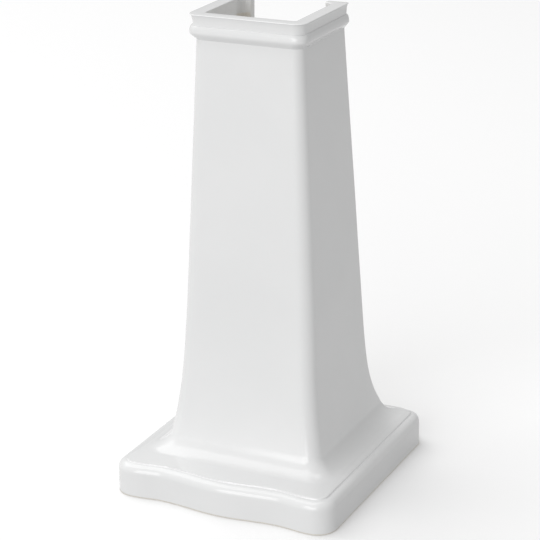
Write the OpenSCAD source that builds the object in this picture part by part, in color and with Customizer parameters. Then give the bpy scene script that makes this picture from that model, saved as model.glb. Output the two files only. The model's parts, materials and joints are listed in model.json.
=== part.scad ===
// Pedestal leg for a washbasin: a hollow glazed china leg that is open at the back,
// with the sleeves, washers, nuts and snap-on caps that hold it to the floor.
// Millimetres. +Z is up, -Y is the front. The origin is the centre of the footprint,
// on the floor.

/* [Overall size] */
// Height from the floor to the basin seat
height = 700; // [660:5:740]
// Thickness of the china wall
wall = 12; // [9:0.5:14]
// Width of the open slot down the back
slot_w = 116; // [96:2:120]

/* [Plinth] */
// Width of the plinth, side to side
plinth_w = 349; // [340:1:370]
// Depth of the plinth, without the bow of its front
plinth_d = 360; // [350:1:380]
// Height of the plinth
plinth_h = 51; // [48:1:60]
// Radius of the plinth's rounded top edge
nosing_r = 12; // [8:1:14]
// Radius of the plinth's front corners
plinth_front_r = 30; // [22:1:36]
// Radius of the plinth's back corners
plinth_back_r = 25; // [18:1:30]
// How far the middle of the front stands out past its ends
bow = 3.9; // [1:0.1:8]
// How far the front dips in on each side of the bow
dip = 4.4; // [1:0.1:8]

/* [Shaft] */
// Width of the shaft at its foot, without the flare
shaft_foot_w = 231; // [220:1:240]
// Width of the shaft at its top
shaft_top_w = 163; // [158:1:176]
// Front of the shaft at its foot, measured from the centre
foot_front = 89.5; // [80:0.5:95]
// Back of the shaft at its foot, measured from the centre
foot_back = 117; // [110:1:120]
// Front of the shaft at its top, measured from the centre
top_front = 59; // [56:1:66]
// Back of the shaft at its top, measured from the centre
top_back = 85; // [78:1:90]
// Radius of the shaft's front corners at the foot
foot_corner_r = 22; // [14:1:26]
// Radius of the shaft's front corners at the top
top_corner_r = 16; // [10:1:18]

/* [Flare] */
// How far each side spreads towards the plinth, above the fillet
side_flare = 14; // [8:1:18]
// Height over which each side spreads
side_flare_h = 174; // [120:2:220]
// How far the front spreads towards the plinth, above the fillet
front_flare = 19.5; // [12:0.5:26]
// Height over which the front spreads
front_flare_h = 300; // [240:5:320]
// Height over which the back spreads, out to the plinth's back edge
back_flare_h = 110; // [90:2:150]
// How quickly the flare dies away: higher keeps more of it near the plinth
flare_power = 2.5; // [2:0.1:3]
// Radius of the fillet between the shaft and the plinth
fillet_r = 26; // [18:1:28]
// Radius of the same fillet at the back
back_fillet_r = 14.5; // [10:0.5:18]

/* [Top moulding] */
// Height of the whole moulding
moulding_h = 34; // [32:1:38]
// Height of the curve from the shaft out to the bead
bead_under_h = 12; // [9:1:14]
// Height of the rounding from the bead back to the neck
bead_over_h = 9; // [7:1:10]
// How far the bead stands out from the shaft
bead_out = 7.5; // [5:0.5:9]
// How far the neck above the bead stands out
neck_out = 3.4; // [2:0.2:5]
// How far the top edge stands out
lip_out = 6.5; // [4:0.5:8]

/* [Floor fixing] */
// Distance between the two floor bolts
bolt_spacing = 196; // [190:2:200]
// How far the floor bolts are behind the centre
bolt_back = 96; // [80:2:104]
// Diameter of the floor bolt that the hardware fits
bolt_d = 8; // [7:0.5:9]

/* [Hidden] */

fine = 96;

// The front bows out past the plinth's depth, so both are shared about the centre
front_ear = plinth_d / 2 - bow / 2;
plinth_back = plinth_d / 2 + bow / 2;
plinth_half = plinth_w / 2;

// Ledge on top of the plinth: a low riser behind the rounded edge, then a slight slope
riser_h = 2;
riser_out = 1.8;
ledge_rise = 2;
ledge_edge = nosing_r + riser_out;
nosing_z = plinth_h - riser_h - nosing_r;
ledge_z = plinth_h + ledge_rise;

// Web at floor level, with an opening for pipes that is open at the back
web_t = 14;
web_half = 72;
web_front = 104;
web_r = 16;
web_lip = 8;

inner_r = 5;
back_edge_r = 3;

nosing_steps = 4;
fillet_steps = 6;
flare_steps = 8;
bead_steps = 5;
cove_steps = 5;
arc_steps = 6;
front_steps = 22;

moulding_z = height - moulding_h;
bead_z = moulding_z + bead_under_h;
neck_z = bead_z + bead_over_h + 0.6;

// Hardware stack, from the top of the web upwards
sleeve_hole_r = 9;
sleeve_r = 8.8;
sleeve_flange_r = 15;
sleeve_flange_t = 2.5;
sleeve_clear = 2;
bolt_clear_r = bolt_d / 2 + 0.5;
cap_base_r = 18;
cap_base_t = 1.6;
snap_r = 15.6;
snap_t = 1.6;
snap_h = 4;
washer_r = 12;
washer_t = 1.6;
nut_flats = 13;
nut_h = 6.5;
nut_hole_r = bolt_d / 2 - 0.6;
cap_gap = 0.35;
cap_t = 1.6;
cap_h = 21;
cap_crown_r = 6;
sleeve_top = web_t + sleeve_flange_t;
base_top = sleeve_top + cap_base_t;
washer_top = base_top + washer_t;

// ---- profile of the leg -------------------------------------------------------

// Straight taper of the shaft between its foot and its top
function taper(z, foot, top) = foot + (top - foot) * z / height;

// How far the flare has spread at height z: all of reach at the ledge, none at the top
function flare(z, reach, rise) =
    reach * pow(max(0, min(1, 1 - (z - ledge_z) / rise)), flare_power);

// Share of a fillet of radius r that is left at height z, from 1 at the ledge to 0
function fillet_share(z, r) = max(0, min(1, 1 - (z - ledge_z) / r));

// How far that fillet stands out at height z
function fillet(z, r) = r - r * sqrt(1 - pow(fillet_share(z, r), 2));

back_flare = plinth_back - ledge_edge - taper(ledge_z, foot_back, top_back) - back_fillet_r;

// A section is [z, half width, front, back, front corner radius, back corner radius,
// share of the plinth's wavy front]
function shaft_section(z) =
    let (share = fillet_share(z, fillet_r), side = fillet(z, fillet_r))
    [z,
        taper(z, shaft_foot_w / 2, shaft_top_w / 2) + flare(z, side_flare, side_flare_h) + side,
        taper(z, foot_front, top_front) + flare(z, front_flare, front_flare_h) + side,
        taper(z, foot_back, top_back) + flare(z, back_flare, back_flare_h) + fillet(z, back_fillet_r),
        taper(z, foot_corner_r, top_corner_r) + 8 * share,
        back_edge_r + (plinth_back_r - nosing_r - back_edge_r) * share,
        0];

function plinth_section(z, inset) =
    [z, plinth_half - inset, front_ear - inset, plinth_back - inset,
        plinth_front_r - inset, max(back_edge_r, plinth_back_r - inset), 1];

// The moulding stands out at the front and sides, and is cut off flush at the back
function moulding_section(z, out) =
    let (s = shaft_section(moulding_z))
    [z, s[1] + out, s[2] + out, s[3], s[4] + out / 8, back_edge_r, 0];

// The same section moved inwards, for the inside of the wall
function inside(s, z, inset) =
    [z, s[1] - inset, s[2] - inset, s[3] - inset,
        max(inner_r, s[4] - inset), max(inner_r, s[5] - inset), 0];

function limit_back(s, most) = [s[0], s[1], s[2], min(s[3], most), s[4], s[5], s[6]];

function web_opening(z) = [z, web_half, web_front, plinth_back - wall - web_lip, web_r, web_r / 2, 0];

// ---- outline of one section -----------------------------------------------------

// Wave of the plinth's front: 0 at the ends, in at the dips, out in the middle
function wave(u) =
    u < 0.54 ? bow + (-dip - bow) * (0.5 - 0.5 * cos(180 * u / 0.54))
    : u < 0.80 ? -dip + dip * (0.5 - 0.5 * cos(180 * (u - 0.54) / 0.26))
    : 0;

function arc(cx, cy, r, from, to) =
    [for (i = [0:arc_steps]) let (a = from + (to - from) * i / arc_steps)
        [cx + r * cos(a), cy + r * sin(a)]];

// From the left edge of the back slot round the front to the right edge
function half_loop(s, steps) =
    let (w = s[1], f = -s[2], b = s[3], rf = s[4], rb = s[5], span = w - rf)
    concat(
        [[-slot_w / 2, b]],
        arc(-w + rb, b - rb, rb, 90, 180),
        arc(-w + rf, f + rf, rf, 180, 270),
        [for (i = [1:steps - 1]) let (x = -span + 2 * span * i / steps)
            [x, f - s[6] * wave(abs(x) / w)]],
        arc(w - rf, f + rf, rf, 270, 360),
        arc(w - rb, b - rb, rb, 0, 90),
        [[slot_w / 2, b]]);

function reversed(list) = [for (i = [len(list) - 1:-1:0]) list[i]];

function lift(points, z) = [for (p = points) [p[0], p[1], z]];

// One closed ring: the outside from left to right, then the inside back again
function ring(outer, inner) = concat(
    lift(half_loop(outer, front_steps), outer[0]),
    lift(reversed(half_loop(inner, front_steps)), inner[0]));

// ---- the rings from the floor to the top -----------------------------------------

floor_rings = [
    ring(plinth_section(0, 0), web_opening(0)),
    ring(plinth_section(web_t - 4, 0), web_opening(web_t)),
    ring(plinth_section(web_t + 4, 0), inside(plinth_section(web_t, 0), web_t, wall))];

// The rounded edge outside, and a smaller rounding inside it
nosing_rings = [for (i = [0:nosing_steps])
    let (a = 90 * i / nosing_steps,
        out = nosing_r * (1 - cos(a)),
        under = wall + nosing_r / 2 * (1 - cos(a)),
        z_in = plinth_h - wall - nosing_r / 2 * (1 - sin(a)))
    ring(plinth_section(nosing_z + nosing_r * sin(a), out),
        inside(plinth_section(0, 0), z_in, under))];

riser_rings = [
    ring(plinth_section(plinth_h - riser_h, nosing_r + riser_out / 2),
        inside(plinth_section(0, 0), plinth_h - wall, wall + nosing_r * 0.7)),
    ring(plinth_section(plinth_h, ledge_edge),
        inside(plinth_section(0, 0), plinth_h - wall, wall + nosing_r * 0.9))];

// The inside follows the outside at right angles, so the wall keeps its thickness
function flare_ring(z) =
    let (share = fillet_share(z, fillet_r),
        hollow = inside(shaft_section(z), z - wall * share, wall * sqrt(1 - share * share) + 1))
    ring(shaft_section(z), limit_back(hollow, plinth_back - ledge_edge - wall));

fillet_rings = [for (i = [0:fillet_steps - 1])
    flare_ring(ledge_z + fillet_r * (1 - cos(90 * i / fillet_steps)))];

// Heights crowd together above the fillet, where the flare curves most
flare_rings = [for (i = [0:flare_steps])
    flare_ring(ledge_z + fillet_r + (front_flare_h - fillet_r) * pow(i / flare_steps, 1.4))];

function top_ring(z, out) = ring(moulding_section(z, out), inside(shaft_section(z), z, wall));

// An S-curve from the shaft out to the bead, then a quarter round back to the neck
under_rings = [for (i = [0:bead_steps])
    let (t = i / bead_steps)
    top_ring(moulding_z + bead_under_h * t, bead_out * t * t * (3 - 2 * t))];

over_rings = [for (i = [1:bead_steps])
    let (a = 90 * i / bead_steps)
    top_ring(bead_z + bead_over_h * sin(a), neck_out + (bead_out - neck_out) * cos(a))];

cove_rings = [for (i = [0:cove_steps])
    let (a = 90 * i / cove_steps)
    top_ring(neck_z + (height - neck_z) * sin(a), neck_out + (lip_out - neck_out) * (1 - cos(a)))];

// ---- solid from rings ---------------------------------------------------------------

// Two triangles between a point pair and the next pair along, split either way
function quad(a, b, c, d) = [[a, b, c], [c, b, d]];
function quad_other(a, b, c, d) = [[a, b, d], [a, d, c]];

// The left and right halves are split as mirror images of each other
function wall_faces(n, r) =
    let (quarter = (n - 2) / 4)
    [for (i = [0:n - 1]) let (j = (i + 1) % n)
        each i < quarter || i > n - 2 - quarter
            ? quad(r * n + i, (r + 1) * n + i, r * n + j, (r + 1) * n + j)
            : quad_other(r * n + i, (r + 1) * n + i, r * n + j, (r + 1) * n + j)];

// A flat end runs as a strip between the outside and the inside of its ring
function end_faces(n, first, up) =
    [for (i = [0:n / 2 - 2]) let (j = n - 1 - i)
        each up ? quad(first + i, first + j, first + i + 1, first + j - 1)
            : quad(first + i, first + i + 1, first + j, first + j - 1)];

module loft(rings) {
    n = len(rings[0]);
    last = len(rings) - 1;
    points = [for (r = rings) each r];
    walls = [for (r = [0:last - 1]) each wall_faces(n, r)];
    polyhedron(points = points, convexity = 8,
        faces = concat(end_faces(n, 0, false), walls, end_faces(n, last * n, true)));
}

module at_bolt(side) {
    translate([side * bolt_spacing / 2, bolt_back, 0]) children();
}

module pedestal_body() {
    color("white") difference() {
        loft(concat(floor_rings, nosing_rings, riser_rings, fillet_rings, flare_rings,
            under_rings, over_rings, cove_rings));
        for (side = [-1, 1]) {
            at_bolt(side) translate([0, 0, -1]) cylinder(r = sleeve_hole_r, h = web_t + 2, $fn = fine);
        }
    }
}

module sleeve(side) {
    color("ivory") at_bolt(side) difference() {
        union() {
            translate([0, 0, sleeve_clear]) cylinder(r = sleeve_r, h = web_t - sleeve_clear, $fn = fine);
            translate([0, 0, web_t]) cylinder(r = sleeve_flange_r, h = sleeve_flange_t, $fn = fine);
        }
        translate([0, 0, -1]) cylinder(r = bolt_clear_r, h = sleeve_top + 2, $fn = fine);
    }
}

module cap_base(side) {
    color("whitesmoke") at_bolt(side) translate([0, 0, sleeve_top]) difference() {
        union() {
            cylinder(r = cap_base_r, h = cap_base_t, $fn = fine);
            cylinder(r = snap_r, h = cap_base_t + snap_h, $fn = fine);
        }
        translate([0, 0, cap_base_t]) cylinder(r = snap_r - snap_t, h = snap_h + 1, $fn = fine);
        translate([0, 0, -1]) cylinder(r = bolt_clear_r, h = cap_base_t + 2, $fn = fine);
    }
}

module washer(side) {
    color("silver") at_bolt(side) translate([0, 0, base_top]) difference() {
        cylinder(r = washer_r, h = washer_t, $fn = fine);
        translate([0, 0, -1]) cylinder(r = bolt_clear_r - 0.1, h = washer_t + 2, $fn = fine);
    }
}

module nut(side) {
    color("silver") at_bolt(side) translate([0, 0, washer_top]) difference() {
        intersection() {
            cylinder(d = nut_flats / cos(30), h = nut_h, $fn = 6);
            cylinder(r1 = nut_flats / 2 + 0.6 + nut_h, r2 = nut_flats / 2, h = nut_h + 0.6, $fn = fine);
        }
        translate([0, 0, -1]) cylinder(r = nut_hole_r, h = nut_h + 2, $fn = fine);
    }
}

// Outline of the cap's outside or inside: a straight skirt and a rounded crown
module cap_profile(r, h, crown) {
    intersection() {
        union() {
            translate([0, -crown]) square([r, h]);
            translate([0, h - crown]) square([r - crown, crown]);
            translate([r - crown, h - crown]) circle(r = crown, $fn = fine);
        }
        square([r, h]);
    }
}

module cap(side) {
    skirt_r = snap_r + cap_gap;
    color("white") at_bolt(side) translate([0, 0, base_top + cap_gap]) rotate_extrude($fn = fine) {
        difference() {
            cap_profile(skirt_r + cap_t, cap_h, cap_crown_r);
            cap_profile(skirt_r, cap_h - cap_t, cap_crown_r - cap_t);
        }
    }
}

pedestal_body();
sleeve(-1);  // sleeve_left
sleeve(1);  // sleeve_right
cap_base(-1);  // cap_base_left
cap_base(1);  // cap_base_right
washer(-1);  // washer_left
washer(1);  // washer_right
nut(-1);  // nut_left
nut(1);  // nut_right
cap(-1);  // cap_left
cap(1);  // cap_right
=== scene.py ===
"""Visual model of the pedestal leg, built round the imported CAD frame. Metres, +Z up, front towards -Y."""
import json
import math

import bpy
import numpy as np
from mathutils import Matrix, Vector, noise

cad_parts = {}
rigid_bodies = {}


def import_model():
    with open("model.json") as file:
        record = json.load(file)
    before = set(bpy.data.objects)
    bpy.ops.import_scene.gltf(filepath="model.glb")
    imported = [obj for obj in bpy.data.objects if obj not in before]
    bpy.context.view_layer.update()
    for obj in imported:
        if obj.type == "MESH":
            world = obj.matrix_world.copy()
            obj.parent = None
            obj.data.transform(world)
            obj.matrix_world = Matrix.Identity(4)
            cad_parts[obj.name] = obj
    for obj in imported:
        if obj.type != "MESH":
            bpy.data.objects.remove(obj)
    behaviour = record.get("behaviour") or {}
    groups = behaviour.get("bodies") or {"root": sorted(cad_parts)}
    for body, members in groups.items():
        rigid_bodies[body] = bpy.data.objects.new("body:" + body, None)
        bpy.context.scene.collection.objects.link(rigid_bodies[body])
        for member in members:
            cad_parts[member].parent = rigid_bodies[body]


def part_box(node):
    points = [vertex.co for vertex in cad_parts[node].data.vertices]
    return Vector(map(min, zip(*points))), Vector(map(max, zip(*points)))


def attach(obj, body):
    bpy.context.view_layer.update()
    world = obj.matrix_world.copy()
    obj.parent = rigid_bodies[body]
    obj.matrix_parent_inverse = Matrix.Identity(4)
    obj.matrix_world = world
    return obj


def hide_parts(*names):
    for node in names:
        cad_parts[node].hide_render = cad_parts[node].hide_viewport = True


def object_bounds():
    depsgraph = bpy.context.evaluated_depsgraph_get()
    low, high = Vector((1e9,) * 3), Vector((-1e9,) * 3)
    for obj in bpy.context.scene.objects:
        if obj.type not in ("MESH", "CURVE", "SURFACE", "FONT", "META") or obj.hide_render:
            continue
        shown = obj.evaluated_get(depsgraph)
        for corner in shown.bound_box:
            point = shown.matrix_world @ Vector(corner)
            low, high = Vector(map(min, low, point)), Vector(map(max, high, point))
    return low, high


for leftover in list(bpy.data.objects):
    bpy.data.objects.remove(leftover)

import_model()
cad_lo, cad_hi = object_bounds()
MM = 0.001

# ---- driving sizes of the china, in millimetres ----------------------------------------
# They are the CAD model's, except the top moulding's. Its bead sits a few millimetres lower
# here and is rounder underneath, where the photo has it.

WIDTH, DEPTH, HEIGHT = [(b - a) / MM for a, b in zip(cad_lo, cad_hi)]
WALL = 12.0
SLOT_HALF = 58.0

PLINTH_H = 51.0
NOSING_R = 12.0
PLINTH_FRONT_R = 30.0
PLINTH_BACK_R = 25.0
BOW = 3.9
DIP = 4.4
DIP_AT = 0.54                   # shares of the half width
WAVE_END = 0.80

SHAFT_HALF = (115.5, 81.5)      # foot, top
SHAFT_FRONT = (89.5, 59.0)
SHAFT_BACK = (117.0, 85.0)
CORNER_R = (22.0, 16.0)
CORNER_GROWTH = 8.0             # extra corner radius at the foot's fillet
BACK_EDGE_R = 3.0

SIDE_FLARE = (14.0, 174.0)      # reach, rise
FRONT_FLARE = (19.5, 300.0)
BACK_FLARE_RISE = 110.0
FLARE_POWER = 2.5
FOOT_FILLET = 26.0
BACK_FILLET = 14.5

MOULDING_H = 36.5
BEAD_UNDER = 11.0               # heights of the curves under and over the bead
BEAD_OVER = 9.5
BEAD_OUT = 7.5
BEAD_ROUNDNESS = 0.6            # share of a quarter sine in the curve under the bead
NECK_OUT = 3.4
LIP_OUT = 6.5
CORNER_SOFTENING = 8            # the moulding's corners grow by its reach over this

RISER_H = 2.0
RISER_OUT = 1.8
LEDGE_RISE = 2.0
WEB_T = 14.0
WEB_HALF = 72.0
WEB_FRONT = 104.0
WEB_R = 16.0
WEB_LIP = 8.0
BOLT_HOLE_R = 9.0

PLINTH_HALF = WIDTH / 2
PLINTH_BACK = DEPTH / 2
FRONT_EAR = DEPTH / 2 - BOW
LEDGE_EDGE = NOSING_R + RISER_OUT
NOSING_Z = PLINTH_H - RISER_H - NOSING_R
LEDGE_Z = PLINTH_H + LEDGE_RISE
MOULDING_Z = HEIGHT - MOULDING_H

# Roundings that glaze and finishing leave on every edge
FOOT_R = 1.5
LIP_R = 1.0
SLOT_R = 3.0
INNER_R = 5.0


# ---- sections ------------------------------------------------------------------------

def taper(z, pair):
    return pair[0] + (pair[1] - pair[0]) * z / HEIGHT


def flare(z, reach, rise):
    return reach * min(1.0, max(0.0, 1 - (z - LEDGE_Z) / rise)) ** FLARE_POWER


def fillet(z, radius):
    """How far a quarter-round fillet on the ledge stands out at height z."""
    up = radius * fillet_share(z, radius)
    return radius - math.sqrt(max(0.0, radius ** 2 - up ** 2))


def fillet_share(z, radius):
    return min(1.0, max(0.0, 1 - (z - LEDGE_Z) / radius))


BACK_FLARE = PLINTH_BACK - LEDGE_EDGE - taper(LEDGE_Z, SHAFT_BACK) - BACK_FILLET


class Section:
    """A horizontal outline: height, half width, front, back, corner radii and share of the wavy front."""

    def __init__(self, z, half, front, back, front_r, back_r, wave=0.0):
        self.values = np.array([z, half, front, back, front_r, back_r, wave])

    def mix(self, other, t):
        return Section(*(self.values * (1 - t) + other.values * t))

    def grown(self, out, z=None):
        v = self.values.copy()
        v[1:4] += out
        v[4] = max(INNER_R, v[4] + out)
        v[5] = max(1.0, v[5] + out)
        if z is not None:
            v[0] = z
        return Section(*v)


def shaft_section(z):
    share = fillet_share(z, FOOT_FILLET)
    return Section(
        z,
        taper(z, SHAFT_HALF) + flare(z, *SIDE_FLARE) + fillet(z, FOOT_FILLET),
        taper(z, SHAFT_FRONT) + flare(z, *FRONT_FLARE) + fillet(z, FOOT_FILLET),
        taper(z, SHAFT_BACK) + flare(z, BACK_FLARE, BACK_FLARE_RISE) + fillet(z, BACK_FILLET),
        taper(z, CORNER_R) + CORNER_GROWTH * share,
        BACK_EDGE_R + (PLINTH_BACK_R - NOSING_R - BACK_EDGE_R) * share,
    )


def plinth_section(z, inset):
    return Section(
        z, PLINTH_HALF - inset, FRONT_EAR - inset, PLINTH_BACK - inset,
        PLINTH_FRONT_R - inset, PLINTH_BACK_R - inset, 1.0,
    )


def moulding_section(z, out):
    v = shaft_section(MOULDING_Z).values
    return Section(z, v[1] + out, v[2] + out, v[3], v[4] + out / CORNER_SOFTENING, BACK_EDGE_R)


def hollow(section, z, inset):
    v = section.values
    return Section(
        z, v[1] - inset, v[2] - inset, min(v[3] - inset, PLINTH_BACK - WALL),
        max(INNER_R, v[4] - inset), max(INNER_R, v[5] - inset),
    )


def web_opening(z):
    return Section(z, WEB_HALF, WEB_FRONT, PLINTH_BACK - WALL - WEB_LIP, WEB_R, WEB_R / 2)


def wave(u):
    """The plinth's wavy front: out in the middle, in at the dips, 0 towards its ends."""
    if u < DIP_AT:
        return BOW + (-DIP - BOW) * (0.5 - 0.5 * math.cos(math.pi * u / DIP_AT))
    if u < WAVE_END:
        return -DIP + DIP * (0.5 - 0.5 * math.cos(math.pi * (u - DIP_AT) / (WAVE_END - DIP_AT)))
    return 0.0


def arc(cx, cy, r, start, end, count):
    angles = [math.radians(start + (end - start) * i / count) for i in range(count + 1)]
    return [(cx + r * math.cos(a), cy + r * math.sin(a)) for a in angles]


# Points along each run of a half outline
FRONT_STEPS, SIDE_STEPS, BACK_STEPS = 40, 26, 8
CORNER_STEPS, BACK_CORNER_STEPS, SLOT_STEPS = 14, 6, 5


def half_outline(section):
    """Right half, from the middle of the front to the edge of the back slot."""
    z, w, f, b, rf, rb, share = section.values
    span = w - rf
    front = []
    for i in range(FRONT_STEPS):
        x = span * i / FRONT_STEPS
        front.append((x, -f - share * wave(x / w)))
    corner = arc(w - rf, -f + rf, rf, 270, 360, CORNER_STEPS)
    side = [(w, -f + rf + (b - rb + f - rf) * i / SIDE_STEPS) for i in range(1, SIDE_STEPS)]
    back_corner = arc(w - rb, b - rb, rb, 0, 90, BACK_CORNER_STEPS)
    start, end = back_corner[-1], (SLOT_HALF + SLOT_R, b)
    back = [(start[0] + (end[0] - start[0]) * i / BACK_STEPS, b) for i in range(1, BACK_STEPS)]
    return front + corner + side + back_corner + back


def ring(outer, inner):
    """One closed ring of 3D points in millimetres, right half first and mirrored."""
    zo, bo = outer.values[0], outer.values[3]
    zi, bi = inner.values[0], inner.values[3]
    out = half_outline(outer)
    inn = half_outline(inner)
    edge_out = arc(SLOT_HALF + SLOT_R, bo - SLOT_R, SLOT_R, 90, 180, SLOT_STEPS)
    edge_in = arc(SLOT_HALF + SLOT_R, bi + SLOT_R, SLOT_R, 180, 270, SLOT_STEPS)
    half = [(x, y, zo) for x, y in out + edge_out] + [(x, y, zi) for x, y in edge_in + inn[::-1]]
    mirrored = [(-x, y, z) for x, y, z in half[::-1] if abs(x) > 1e-9]
    return half + mirrored


# ---- rings from the floor to the top -------------------------------------------------

def ease(t):
    return t * t * (3 - 2 * t)


def steps(count):
    return [i / count for i in range(count + 1)]


def leg_rings():
    rings = []

    # Underside of the foot, its rounded bottom edges, and the web with its opening
    for t in steps(3):
        a = math.pi / 2 * t
        out = FOOT_R * (1 - math.sin(a))
        z = FOOT_R * (1 - math.cos(a))
        rings.append(ring(plinth_section(z, out), web_opening(z).grown(out)))
    for t in steps(3)[1:]:
        z = FOOT_R + (WEB_T - 4 - FOOT_R) * t
        rings.append(ring(plinth_section(z, 0), web_opening(z)))
    cavity = hollow(plinth_section(WEB_T, 0), WEB_T, WALL)
    mouth = web_opening(WEB_T)
    for t in steps(4):
        a = math.pi / 2 * t
        rounded = mouth.grown(2 * (1 - math.cos(a)), WEB_T - 2 + 2 * math.sin(a))
        rings.append(ring(plinth_section(WEB_T - 3 + 4 * t, 0), rounded))
    for t in steps(8)[1:]:
        rings.append(ring(plinth_section(WEB_T + 1 + 4 * t, 0), mouth.grown(2).mix(cavity, t)))

    # Inside of the plinth, and its rounded top edge outside
    cavity_top = PLINTH_H - WALL
    base = plinth_section(0, 0)
    for t in steps(5)[1:]:
        z_out = WEB_T + 5 + (NOSING_Z - WEB_T - 5) * t
        z_in = WEB_T + (cavity_top - 6 - WEB_T) * t
        rings.append(ring(plinth_section(z_out, 0), hollow(base, z_in, WALL)))
    for t in steps(14)[1:]:
        a = math.pi / 2 * t
        out = plinth_section(NOSING_Z + NOSING_R * math.sin(a), NOSING_R * (1 - math.cos(a)))
        under = hollow(base, cavity_top - 6 * (1 - math.sin(a)), WALL + 6 * (1 - math.cos(a)))
        rings.append(ring(out, under))

    # The low riser, then the ledge that sweeps up into the flare
    for t in steps(8)[1:]:
        inset = NOSING_R + 0.6 + (RISER_OUT - 0.6) * t
        z = PLINTH_H - RISER_H + RISER_H * ease(t)
        rings.append(ring(plinth_section(z, inset), hollow(base, cavity_top, WALL + 6 + 4.8 * t)))
    ledge_start = plinth_section(PLINTH_H, LEDGE_EDGE)
    under_start = hollow(base, cavity_top, WALL + 10.8)
    foot = shaft_section(LEDGE_Z)
    under_foot = hollow(foot, LEDGE_Z - WALL, 1)
    under_foot.values[3] = PLINTH_BACK - LEDGE_EDGE - WALL
    for t in steps(10)[1:-1]:
        rings.append(ring(ledge_start.mix(foot, t), under_start.mix(under_foot, t)))

    # Flare and shaft
    for t in steps(44):
        z = LEDGE_Z + FRONT_FLARE[1] * t ** 2.2
        share = fillet_share(z, FOOT_FILLET)
        inside = hollow(shaft_section(z), z - WALL * share, WALL * math.sqrt(1 - share * share) + 1)
        inside.values[3] = min(inside.values[3], PLINTH_BACK - LEDGE_EDGE - WALL)
        rings.append(ring(shaft_section(z), inside))
    top_of_flare = LEDGE_Z + FRONT_FLARE[1]
    for t in steps(40)[1:]:
        z = top_of_flare + (MOULDING_Z - top_of_flare) * t
        rings.append(ring(shaft_section(z), hollow(shaft_section(z), z, WALL)))

    # Top moulding, its lip and the rounded inner edge of the seat
    for out, z in moulding_profile():
        rings.append(ring(moulding_section(z, out), hollow(shaft_section(z), z, WALL)))
    for t in steps(4)[1:]:
        a = math.pi / 2 * t
        z = HEIGHT - LIP_R * (1 - math.sin(a))
        inside = hollow(shaft_section(z), z, WALL - 2 * (1 - math.cos(a)))
        rings.append(ring(moulding_section(z, LIP_OUT - LIP_R * (1 - math.cos(a))), inside))
    return rings


def moulding_profile():
    """(out, z) from the shaft to the lip: a full curve under the bead, the bead, neck and cove."""
    bead_z = MOULDING_Z + BEAD_UNDER
    neck_z = bead_z + BEAD_OVER
    lip_z = HEIGHT - LIP_R
    points = []
    for t in steps(20)[1:]:
        reach = BEAD_ROUNDNESS * math.sin(math.pi / 2 * t) + (1 - BEAD_ROUNDNESS) * ease(t)
        points.append((BEAD_OUT * reach, MOULDING_Z + BEAD_UNDER * t))
    for t in steps(14)[1:-1]:
        a = math.pi / 2 * t
        points.append((NECK_OUT + (BEAD_OUT - NECK_OUT) * math.cos(a), bead_z + BEAD_OVER * math.sin(a)))
    points.append((NECK_OUT, neck_z))
    for t in steps(16)[1:]:
        a = math.pi / 2 * t
        points.append((NECK_OUT + (LIP_OUT - NECK_OUT) * (1 - math.cos(a)),
                       neck_z + 0.6 + (lip_z - neck_z - 0.6) * math.sin(a)))
    return points


# ---- meshes --------------------------------------------------------------------------

def new_object(name, verts, faces):
    mesh = bpy.data.meshes.new(name)
    mesh.from_pydata([Vector(v) * MM for v in verts], [], faces)
    mesh.update()
    obj = bpy.data.objects.new(name, mesh)
    bpy.context.collection.objects.link(obj)
    return obj


def loft(name, rings):
    """A closed solid from rings. The end faces are strips between each ring's outside and inside."""
    n = len(rings[0])
    verts = [p for r in rings for p in r]
    faces = []
    for k in range(len(rings) - 1):
        for i in range(n):
            j = (i + 1) % n
            faces.append((k * n + i, k * n + j, (k + 1) * n + j, (k + 1) * n + i))
    half = (n + 2) // 2
    quarter = half // 2
    for first, flip in ((0, True), ((len(rings) - 1) * n, False)):
        for i in range(quarter - 1):
            corners = (i, i + 1, half - 2 - i, half - 1 - i)
            quad = tuple(first + x for x in corners)
            faces.append(quad[::-1] if flip else quad)
            mirror = tuple(first + (n - x) % n for x in corners)
            faces.append(mirror if flip else mirror[::-1])
    return new_object(name, verts, faces)


def smooth(obj, angle):
    obj.data.polygons.foreach_set("use_smooth", [True] * len(obj.data.polygons))
    obj.data.set_sharp_from_angle(angle=math.radians(angle))


def cut(obj, cutters):
    """Takes the cutters out of obj and leaves a plain mesh."""
    for cutter in cutters:
        modifier = obj.modifiers.new("hole", "BOOLEAN")
        modifier.operation = "DIFFERENCE"
        modifier.solver = "EXACT"
        modifier.object = cutter
    graph = bpy.context.evaluated_depsgraph_get()
    mesh = bpy.data.meshes.new_from_object(obj.evaluated_get(graph))
    obj.modifiers.clear()
    obj.data = mesh
    for cutter in cutters:
        bpy.data.objects.remove(cutter)


def round_corners(points, radius, count=4):
    """Replaces each corner of a closed profile with a small curve."""
    out = []
    n = len(points)
    for i, p in enumerate(points):
        before, here, after = (Vector(q) for q in (points[i - 1], p, points[(i + 1) % n]))
        reach = min(radius, (before - here).length * 0.45, (after - here).length * 0.45)
        start = here + (before - here).normalized() * reach
        end = here + (after - here).normalized() * reach
        for t in steps(count):
            out.append(tuple(start * (1 - t) ** 2 + here * (2 * t * (1 - t)) + end * t ** 2))
    return out


def lathe(name, profile, place, segments=96):
    """A closed profile of (radius, height), counter-clockwise, turned about a vertical axis at place."""
    n = len(profile)
    verts, faces = [], []
    for k in range(segments):
        a = 2 * math.pi * k / segments
        verts += [(place[0] + r * math.cos(a), place[1] + r * math.sin(a), place[2] + z)
                  for r, z in profile]
        base, after = k * n, (k + 1) % segments * n
        faces += [(base + i, after + i, after + (i + 1) % n, base + (i + 1) % n) for i in range(n)]
    return new_object(name, verts, faces)


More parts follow.
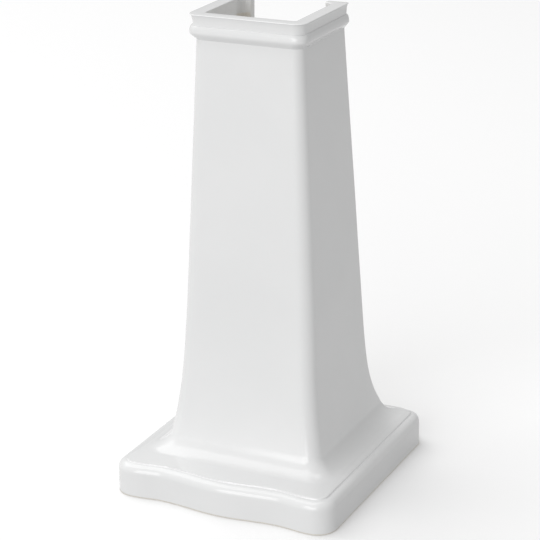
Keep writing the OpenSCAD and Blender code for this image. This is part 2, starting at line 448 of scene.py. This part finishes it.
def lathe_dome(name, profile, place, segments=96):
    """As lathe, for a profile whose first and last points lie on the axis."""
    n = len(profile)
    verts = [(place[0], place[1], place[2] + profile[0][1]), (place[0], place[1], place[2] + profile[-1][1])]
    faces = []
    body = profile[1:-1]
    m = n - 2
    for k in range(segments):
        a = 2 * math.pi * k / segments
        verts += [(place[0] + r * math.cos(a), place[1] + r * math.sin(a), place[2] + z) for r, z in body]
        base, after = 2 + k * m, 2 + (k + 1) % segments * m
        faces += [(base + i, after + i, after + i + 1, base + i + 1) for i in range(m - 1)]
        faces += [(0, after, base), (1, base + m - 1, after + m - 1)]
    return new_object(name, verts, faces)


# ---- the china -----------------------------------------------------------------------

GLAZE_REACH = 24.0      # how far the glaze runs down inside the top, mm
FOOT_BARE = 2.2         # height of the unglazed band round the foot, mm
WAVINESS = 0.35         # how far the fired surface wanders, mm


def waviness(x, y, z):
    """Slow unevenness of slip-cast china, always inwards, fading out at the seat and the floor."""
    slow = noise.noise(Vector((x, y, z)) * 0.011 + Vector((3.1, 8.4, 1.7)))
    broad = noise.noise(Vector((x, y, z)) * 0.004 + Vector((7.7, 2.2, 5.1)))
    fade = min(1.0, z / 30) * min(1.0, (HEIGHT - z) / 30)
    return WAVINESS * fade * (0.9 + 0.6 * slow + 0.9 * broad)


def make_china():
    rings = leg_rings()
    half = len(rings[0]) // 2 + 1
    outside = half // 2
    bare = []
    for points in rings:
        n = len(points)
        for i, (x, y, z) in enumerate(points):
            k = i if i < half else n - i
            if k < outside - 3:
                bare.append(FOOT_BARE - z)
            else:
                inside = min((HEIGHT - z - GLAZE_REACH) / 9, (k - outside - 4) / 2)
                bare.append(max(inside, FOOT_BARE - z))
    china = loft("pedestal_china", rings)
    layer = china.data.attributes.new("bare_clay", "FLOAT", "POINT")
    layer.data.foreach_set("value", np.clip(bare, -1.5, 1.5).astype(np.float32))
    count = len(china.data.vertices)
    normals, places = np.empty(count * 3), np.empty(count * 3)
    china.data.vertices.foreach_get("normal", normals)
    china.data.vertices.foreach_get("co", places)
    normals, places = normals.reshape(-1, 3), places.reshape(-1, 3)
    normals[:, 2] = 0
    push = np.array([waviness(*p) for p in (places / MM).tolist()]) * MM
    china.data.vertices.foreach_set("co", (places - normals * push[:, None]).ravel())
    china.data.update()
    cutters = [
        lathe_dome("cutter", [(0, -5), (BOLT_HOLE_R, -5), (BOLT_HOLE_R, WEB_T + 5), (0, WEB_T + 5)], place, 72)
        for place in BOLTS.values()
    ]
    cut(china, cutters)
    smooth(china, 38)
    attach(china, "pedestal")
    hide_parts("pedestal_body")
    china.data.materials.clear()
    china.data.materials.append(china_material())


# ---- floor fixing --------------------------------------------------------------------

def node_centre(node):
    lo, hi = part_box(node)
    return [(a + b) / 2 / MM for a, b in zip(lo, hi)]


BOLTS = {side: (*node_centre("nut_" + side)[:2], 0.0) for side in ("left", "right")}
BOLT_CLEAR_R = 4.5


def levels(node):
    lo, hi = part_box(node)
    return lo[2] / MM, hi[2] / MM


def node_radius(node):
    lo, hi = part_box(node)
    return (hi[0] - lo[0]) / 2 / MM


def add_fixing(piece, node, body, material):
    smooth(piece, 30)
    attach(piece, body)
    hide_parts(node)
    piece.data.materials.clear()
    piece.data.materials.append(material)


def make_sleeve(side, material):
    node = "sleeve_" + side
    low, top = levels(node)
    flange_r = node_radius(node)
    tube_r = BOLT_HOLE_R - 0.2
    profile = [(BOLT_CLEAR_R, low), (tube_r - 0.5, low), (tube_r, low + 1.5), (tube_r, WEB_T),
               (flange_r, WEB_T), (flange_r, top), (BOLT_CLEAR_R, top)]
    add_fixing(lathe("nylon_sleeve_" + side, round_corners(profile, 0.45), BOLTS[side]),
               node, "pedestal", material)


def make_cap_base(side, material):
    node = "cap_base_" + side
    low, top = levels(node)
    rim = node_radius(node)
    plate = low + 1.6
    snap = 15.6
    profile = [(BOLT_CLEAR_R, low), (rim, low), (rim, plate), (snap - 0.3, plate),
               (snap - 0.3, top - 2.2), (snap, top - 1.5), (snap - 0.4, top), (snap - 1.6, top),
               (snap - 1.6, plate), (BOLT_CLEAR_R, plate)]
    add_fixing(lathe("cap_base_disc_" + side, round_corners(profile, 0.3), BOLTS[side]),
               node, "pedestal", material)


def make_washer(side, material):
    node = "washer_" + side
    low, top = levels(node)
    rim, bore = node_radius(node), BOLT_CLEAR_R - 0.1
    profile = [(bore, low), (rim, low), (rim, top), (bore, top)]
    add_fixing(lathe("steel_washer_" + side, round_corners(profile, 0.35), BOLTS[side]),
               node, "pedestal", material)


THREAD_PITCH = 1.25
THREAD_DEPTH = 0.55


def make_nut(side, material):
    """Six flats under a turned chamfer, with a real helix in the bore."""
    node = "nut_" + side
    low, top = levels(node)
    lo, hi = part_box(node)
    flats = (hi[1] - lo[1]) / MM
    bore = 3.4
    segments, rows = 144, 44
    place = BOLTS[side]
    verts, faces = [], []
    for j in range(rows + 1):
        z = low + (top - low) * j / rows
        from_end = min(z - low, top - z)
        chamfer = flats / 2 * 0.965 + from_end * 1.7
        for k in range(segments):
            a = 2 * math.pi * k / segments
            turn = (math.degrees(a) + 30) % 60 - 30
            flat = flats / 2 / math.cos(math.radians(turn))
            r = min(flat, chamfer, flats / 2 * 1.142)
            verts.append((place[0] + r * math.sin(a), place[1] + r * math.cos(a), z))
    outer = len(verts)
    for j in range(rows + 1):
        z = low + (top - low) * j / rows
        flare_out = max(0.0, 0.7 - min(z - low, top - z))
        for k in range(segments):
            phase = (z / THREAD_PITCH + k / segments) % 1
            r = bore + THREAD_DEPTH * (1 - abs(2 * phase - 1)) * (1 - flare_out) + flare_out * 0.9
            a = 2 * math.pi * k / segments
            verts.append((place[0] + r * math.sin(a), place[1] + r * math.cos(a), z))
    for j in range(rows):
        for k in range(segments):
            m = (k + 1) % segments
            here, up = j * segments, (j + 1) * segments
            faces.append((here + m, here + k, up + k, up + m))
            faces.append((outer + here + k, outer + here + m, outer + up + m, outer + up + k))
    last = rows * segments
    for k in range(segments):
        m = (k + 1) % segments
        faces.append((k, m, outer + m, outer + k))
        faces.append((last + m, last + k, outer + last + k, outer + last + m))
    add_fixing(new_object("hex_nut_" + side, verts, faces), node, "pedestal", material)


def make_cap(side, material):
    """A snap-on cap: a straight skirt with a slight rim, a rounded crown and a shallow dome."""
    node = "cap_" + side
    low, top = levels(node)
    rim = node_radius(node)
    wall, crown = 1.6, 6.0
    skirt = rim - 0.35
    outside = [(rim - 0.25, low), (rim, low + 0.35), (rim, low + 1.9), (skirt, low + 2.3)]
    outside += [(skirt - crown * (1 - math.cos(a)), top - 0.9 - crown + crown * math.sin(a))
                for a in [math.pi / 2 * t for t in steps(14)]]
    outside += [(r, top - 0.9 * (r / (skirt - crown)) ** 2)
                for r in [(skirt - crown) * (1 - t) for t in steps(8)][1:]]
    inner, inner_crown = rim - wall, crown - wall
    under = top - 0.9 - wall
    inside = [(0, under)]
    inside += [(inner - inner_crown * (1 - math.cos(a)),
                under - inner_crown + inner_crown * math.sin(a))
               for a in [math.pi / 2 * (1 - t) for t in steps(8)]]
    inside += [(inner, low + 3.0), (inner - 0.12, low + 1.6), (inner, low + 0.6), (inner + 0.3, low)]
    # From the middle of the underside down the inside, round the rim and up the outside
    cap = lathe_dome("bolt_cap_" + side, inside + outside, BOLTS[side])
    add_fixing(cap, node, side + "_cap", material)


# ---- materials -----------------------------------------------------------------------

def new_material(name):
    material = bpy.data.materials.new(name)
    material.use_nodes = True
    tree = material.node_tree
    return material, tree, tree.nodes["Principled BSDF"]


def add(tree, kind, **values):
    node = tree.nodes.new(kind)
    for key, value in values.items():
        if key in node.inputs:
            node.inputs[key].default_value = value
        else:
            setattr(node, key, value)
    return node


def noise_at(tree, scale, detail, vector):
    node = add(tree, "ShaderNodeTexNoise")
    node.inputs["Scale"].default_value = scale
    node.inputs["Detail"].default_value = detail
    tree.links.new(vector, node.inputs["Vector"])
    return node.outputs["Fac"]


def remap(tree, value, low, high, to_low, to_high, soft=False):
    node = add(tree, "ShaderNodeMapRange", clamp=True)
    node.interpolation_type = "SMOOTHSTEP" if soft else "LINEAR"
    for index, number in enumerate((low, high, to_low, to_high)):
        node.inputs[index + 1].default_value = number
    tree.links.new(value, node.inputs["Value"])
    return node.outputs["Result"]


def blend_colour(tree, share, a, b):
    node = add(tree, "ShaderNodeMix", data_type="RGBA")
    tree.links.new(share, node.inputs["Factor"])
    colour_sockets = [i for i in node.inputs if i.type == "RGBA"]
    for socket, value in zip(colour_sockets, (a, b)):
        if isinstance(value, tuple):
            socket.default_value = (*value, 1)
        else:
            tree.links.new(value, socket)
    return [o for o in node.outputs if o.type == "RGBA"][0]


def maths(tree, operation, a, b):
    node = add(tree, "ShaderNodeMath", operation=operation)
    for index, value in enumerate((a, b)):
        if isinstance(value, (int, float)):
            node.inputs[index].default_value = value
        else:
            tree.links.new(value, node.inputs[index])
    return node.outputs[0]


def bump(tree, height, distance, shader):
    node = add(tree, "ShaderNodeBump")
    node.inputs["Strength"].default_value = 1.0
    node.inputs["Distance"].default_value = distance
    tree.links.new(height, node.inputs["Height"])
    tree.links.new(node.outputs["Normal"], shader.inputs["Normal"])


def china_material():
    """White glaze over a warm clay body, which shows bare inside the leg and under its foot."""
    material, tree, shader = new_material("glazed_china")
    place = add(tree, "ShaderNodeTexCoord").outputs["Object"]
    layer = add(tree, "ShaderNodeAttribute")
    layer.attribute_name = "bare_clay"
    edge = maths(tree, "MULTIPLY", maths(tree, "SUBTRACT", noise_at(tree, 60, 4, place), 0.5), 1.2)
    bare = remap(tree, maths(tree, "ADD", layer.outputs["Fac"], edge), -0.12, 0.12, 0, 1, soft=True)

    tone = remap(tree, noise_at(tree, 5, 3, place), 0.35, 0.65, 0, 1)
    glaze = blend_colour(tree, tone, (0.752, 0.756, 0.756), (0.778, 0.780, 0.780))
    grain = remap(tree, noise_at(tree, 900, 3, place), 0.35, 0.7, 0, 1)
    clay = blend_colour(tree, grain, (0.66, 0.63, 0.57), (0.76, 0.74, 0.69))
    tree.links.new(blend_colour(tree, bare, glaze, clay), shader.inputs["Base Color"])

    sheen = remap(tree, noise_at(tree, 14, 4, place), 0.3, 0.7, 0.10, 0.17)
    rough = add(tree, "ShaderNodeMix", data_type="FLOAT")
    tree.links.new(bare, rough.inputs[0])
    tree.links.new(sheen, rough.inputs[2])
    rough.inputs[3].default_value = 0.82
    tree.links.new(rough.outputs[0], shader.inputs["Roughness"])

    peel = maths(tree, "MULTIPLY", noise_at(tree, 120, 2, place), maths(tree, "SUBTRACT", 1.0, bare))
    pits = maths(tree, "MULTIPLY", noise_at(tree, 1400, 4, place), maths(tree, "MULTIPLY", bare, 3.0))
    bump(tree, maths(tree, "ADD", peel, pits), 0.00006, shader)
    shader.inputs["IOR"].default_value = 1.52
    shader.inputs["Specular IOR Level"].default_value = 0.5
    return material


def plastic_material(name, light, dark, rough):
    material, tree, shader = new_material(name)
    place = add(tree, "ShaderNodeTexCoord").outputs["Object"]
    tone = remap(tree, noise_at(tree, 120, 3, place), 0.3, 0.7, 0, 1)
    tree.links.new(blend_colour(tree, tone, dark, light), shader.inputs["Base Color"])
    tree.links.new(remap(tree, noise_at(tree, 400, 3, place), 0.3, 0.7, rough - 0.06, rough + 0.08),
                   shader.inputs["Roughness"])
    bump(tree, noise_at(tree, 2500, 2, place), 0.00002, shader)
    shader.inputs["IOR"].default_value = 1.49
    return material


def zinc_material():
    """Bright zinc plate with a faint cloudiness and a fine grain."""
    material, tree, shader = new_material("zinc_steel")
    place = add(tree, "ShaderNodeTexCoord").outputs["Object"]
    cloud = remap(tree, noise_at(tree, 300, 4, place), 0.3, 0.7, 0, 1)
    tone = blend_colour(tree, cloud, (0.58, 0.60, 0.62), (0.74, 0.75, 0.76))
    tree.links.new(tone, shader.inputs["Base Color"])
    tree.links.new(remap(tree, noise_at(tree, 700, 4, place), 0.3, 0.7, 0.22, 0.42),
                   shader.inputs["Roughness"])
    bump(tree, noise_at(tree, 3000, 2, place), 0.00002, shader)
    shader.inputs["Metallic"].default_value = 1.0
    return material


make_china()
nylon = plastic_material("nylon", (0.78, 0.76, 0.69), (0.70, 0.68, 0.61), 0.45)
white_plastic = plastic_material("white_plastic", (0.84, 0.84, 0.82), (0.80, 0.80, 0.78), 0.28)
zinc = zinc_material()
for side in ("left", "right"):
    make_sleeve(side, nylon)
    make_cap_base(side, white_plastic)
    make_washer(side, zinc)
    make_nut(side, zinc)
    make_cap(side, white_plastic)


# ---- camera --------------------------------------------------------------------------

CAMERA_AZIMUTH = 26.3
CAMERA_ELEVATION = 20.25
CAMERA_ROLL = -0.85
CAMERA_DISTANCE = 2.8447
CAMERA_ASIDE = -0.0013
CAMERA_AIM_Y = 0.007
CAMERA_AIM_Z = 0.3126
CAMERA_LENS = 130.0


def make_camera():
    a, e, roll = (math.radians(x) for x in (CAMERA_AZIMUTH, CAMERA_ELEVATION, CAMERA_ROLL))
    back = Vector((math.sin(a) * math.cos(e), -math.cos(a) * math.cos(e), math.sin(e)))
    right = Vector((math.cos(a), math.sin(a), 0))
    up = back.cross(right)
    aim = right * CAMERA_ASIDE + Vector((0, CAMERA_AIM_Y, CAMERA_AIM_Z))
    rolled_right = right * math.cos(roll) + up * math.sin(roll)
    rolled_up = up * math.cos(roll) - right * math.sin(roll)
    data = bpy.data.cameras.new("camera")
    data.lens = CAMERA_LENS
    data.sensor_width = 36
    camera = bpy.data.objects.new("camera", data)
    bpy.context.collection.objects.link(camera)
    camera.matrix_world = Matrix.Translation(aim + back * CAMERA_DISTANCE) @ Matrix(
        (rolled_right, rolled_up, back)).transposed().to_4x4()
    bpy.context.scene.camera = camera


# ---- floor and light -----------------------------------------------------------------

LIGHT_AIM = (0, 0, 0.3)
WORLD_STRENGTH = 0.495
FRONT_POWER = 610       # watts
TOP_POWER = 640


def make_floor():
    mesh = bpy.data.meshes.new("studio_floor")
    size = 12.0
    corners = [(-size, -size, 0), (size, -size, 0), (size, size, 0), (-size, size, 0)]
    mesh.from_pydata(corners, [], [(0, 1, 2, 3)])
    floor = bpy.data.objects.new("studio_floor", mesh)
    bpy.context.collection.objects.link(floor)
    material, tree, shader = new_material("pale_floor")
    shader.inputs["Base Color"].default_value = (0.97, 0.97, 0.97, 1)
    shader.inputs["Roughness"].default_value = 0.9
    mesh.materials.append(material)
    floor.visible_diffuse = False


def area_light(name, place, size, power):
    data = bpy.data.lights.new(name, "AREA")
    data.shape = "RECTANGLE"
    data.size, data.size_y = size
    data.energy = power
    light = bpy.data.objects.new(name, data)
    bpy.context.collection.objects.link(light)
    light.location = place
    light.rotation_euler = (Vector(LIGHT_AIM) - Vector(place)).to_track_quat("-Z", "Y").to_euler()


def make_light():
    world = bpy.data.worlds.new("studio")
    world.use_nodes = True
    world.node_tree.nodes["Background"].inputs["Color"].default_value = (1, 1, 1, 1)
    world.node_tree.nodes["Background"].inputs["Strength"].default_value = WORLD_STRENGTH
    bpy.context.scene.world = world
    area_light("front", (-0.4, -10.3, 3.2), (8.5, 7.0), FRONT_POWER)
    area_light("top", (-4.0, 0.8, 9.3), (11.0, 11.0), TOP_POWER)
    bpy.context.scene.view_settings.view_transform = "Standard"


make_camera()
make_floor()
make_light()
